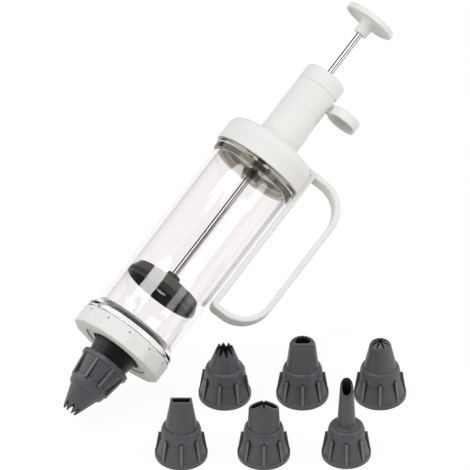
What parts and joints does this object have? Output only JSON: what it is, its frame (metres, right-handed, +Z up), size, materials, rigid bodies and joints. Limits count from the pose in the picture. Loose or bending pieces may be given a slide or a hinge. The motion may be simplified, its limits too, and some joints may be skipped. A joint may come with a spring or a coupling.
{
  "type": "pastry syringe",
  "caption": "Clear pastry syringe with a loop handle, thumb lever, piston on a steel rod and a ring nut that holds its star nozzle, with spare nozzles.",
  "frame": {"origin": "on the table, under the middle of the set's bounding box", "axes": "+Z up from the table that the spare nozzles stand on, +X along the table under the syringe, from its nozzle towards its knob; the syringe leans 30 degrees above the table, as a hand holds it"},
  "size_m": [0.2839, 0.191, 0.1855],
  "materials": {
    "clear_plastic": "clear, glossy",
    "smoky_plastic": "smoky, glossy",
    "white_plastic": "satin",
    "slate_plastic": "satin",
    "black_plastic": "glossy",
    "black_rubber": "matte",
    "polished_steel": "polished",
    "spring_steel": "bright"
  },
  "bodies": {
    "syringe": {"barrel": "clear_plastic", "lid": "smoky_plastic", "head": "white_plastic", "handle": "white_plastic", "top_cap": "white_plastic", "return_spring": "spring_steel"},
    "plunger": {"plunger_rod": "polished_steel", "knob": "white_plastic", "piston": "smoky_plastic", "piston_seal": "black_rubber", "rod_nut": "spring_steel"},
    "lever": {"thumb_lever": "white_plastic", "grip_plate": "spring_steel"},
    "outlet": {"spout": "black_plastic", "gasket": "black_rubber"},
    "nut": {"ring_nut": "white_plastic"},
    "mounted_nozzle": {"star_nozzle": "slate_plastic"},
    "wide_star_spare": {"wide_star_nozzle": "slate_plastic"},
    "half_round_spare": {"half_round_nozzle": "slate_plastic"},
    "closed_star_spare": {"closed_star_nozzle": "slate_plastic"},
    "ribbon_spare": {"ribbon_nozzle": "slate_plastic"},
    "leaf_spare": {"leaf_nozzle": "slate_plastic"},
    "filler_spare": {"filler_nozzle": "slate_plastic"}
  },
  "joints": [
    {"name": "plunger_slide", "type": "slide", "parent": "syringe", "child": "plunger", "axis": [0.866, 0, 0.5], "range_m": [-0.029, 0.076]},
    {"name": "lever_press", "type": "slide", "parent": "syringe", "child": "lever", "axis": [-0.866, 0, -0.5], "range_m": [0, 0.02], "stiffness_N_per_m": 250, "springref_m": -0.008, "deforming": ["return_spring"]},
    {"name": "outlet_drop", "type": "slide", "parent": "syringe", "child": "outlet", "axis": [-0.866, 0, -0.5], "range_m": [0, 0.0076]},
    {"name": "nut_turn", "type": "hinge", "parent": "outlet", "child": "nut", "pos_m": [-0.0875, 0.0624, 0.04333], "axis": [-0.866, 0, -0.5], "range_deg": [0, 675]},
    {"name": "nozzle_pull", "type": "slide", "parent": "outlet", "child": "mounted_nozzle", "axis": [-0.866, 0, -0.5], "range_m": [0, 0.0095]},
    {"name": "wide_star_lift", "type": "slide", "parent": "syringe", "child": "wide_star_spare", "axis": [0, 0, 1], "range_m": [0, 0.015]},
    {"name": "half_round_lift", "type": "slide", "parent": "syringe", "child": "half_round_spare", "axis": [0, 0, 1], "range_m": [0, 0.015]},
    {"name": "closed_star_lift", "type": "slide", "parent": "syringe", "child": "closed_star_spare", "axis": [0, 0, 1], "range_m": [0, 0.015]},
    {"name": "ribbon_lift", "type": "slide", "parent": "syringe", "child": "ribbon_spare", "axis": [0, 0, 1], "range_m": [0, 0.015]},
    {"name": "leaf_lift", "type": "slide", "parent": "syringe", "child": "leaf_spare", "axis": [0, 0, 1], "range_m": [0, 0.015]},
    {"name": "filler_lift", "type": "slide", "parent": "syringe", "child": "filler_spare", "axis": [0, 0, 1], "range_m": [0, 0.015]}
  ],
  "couplings": [
    {"joint": "outlet_drop", "follows": "nut_turn", "m_per_rad": 0.00063662}
  ]
}
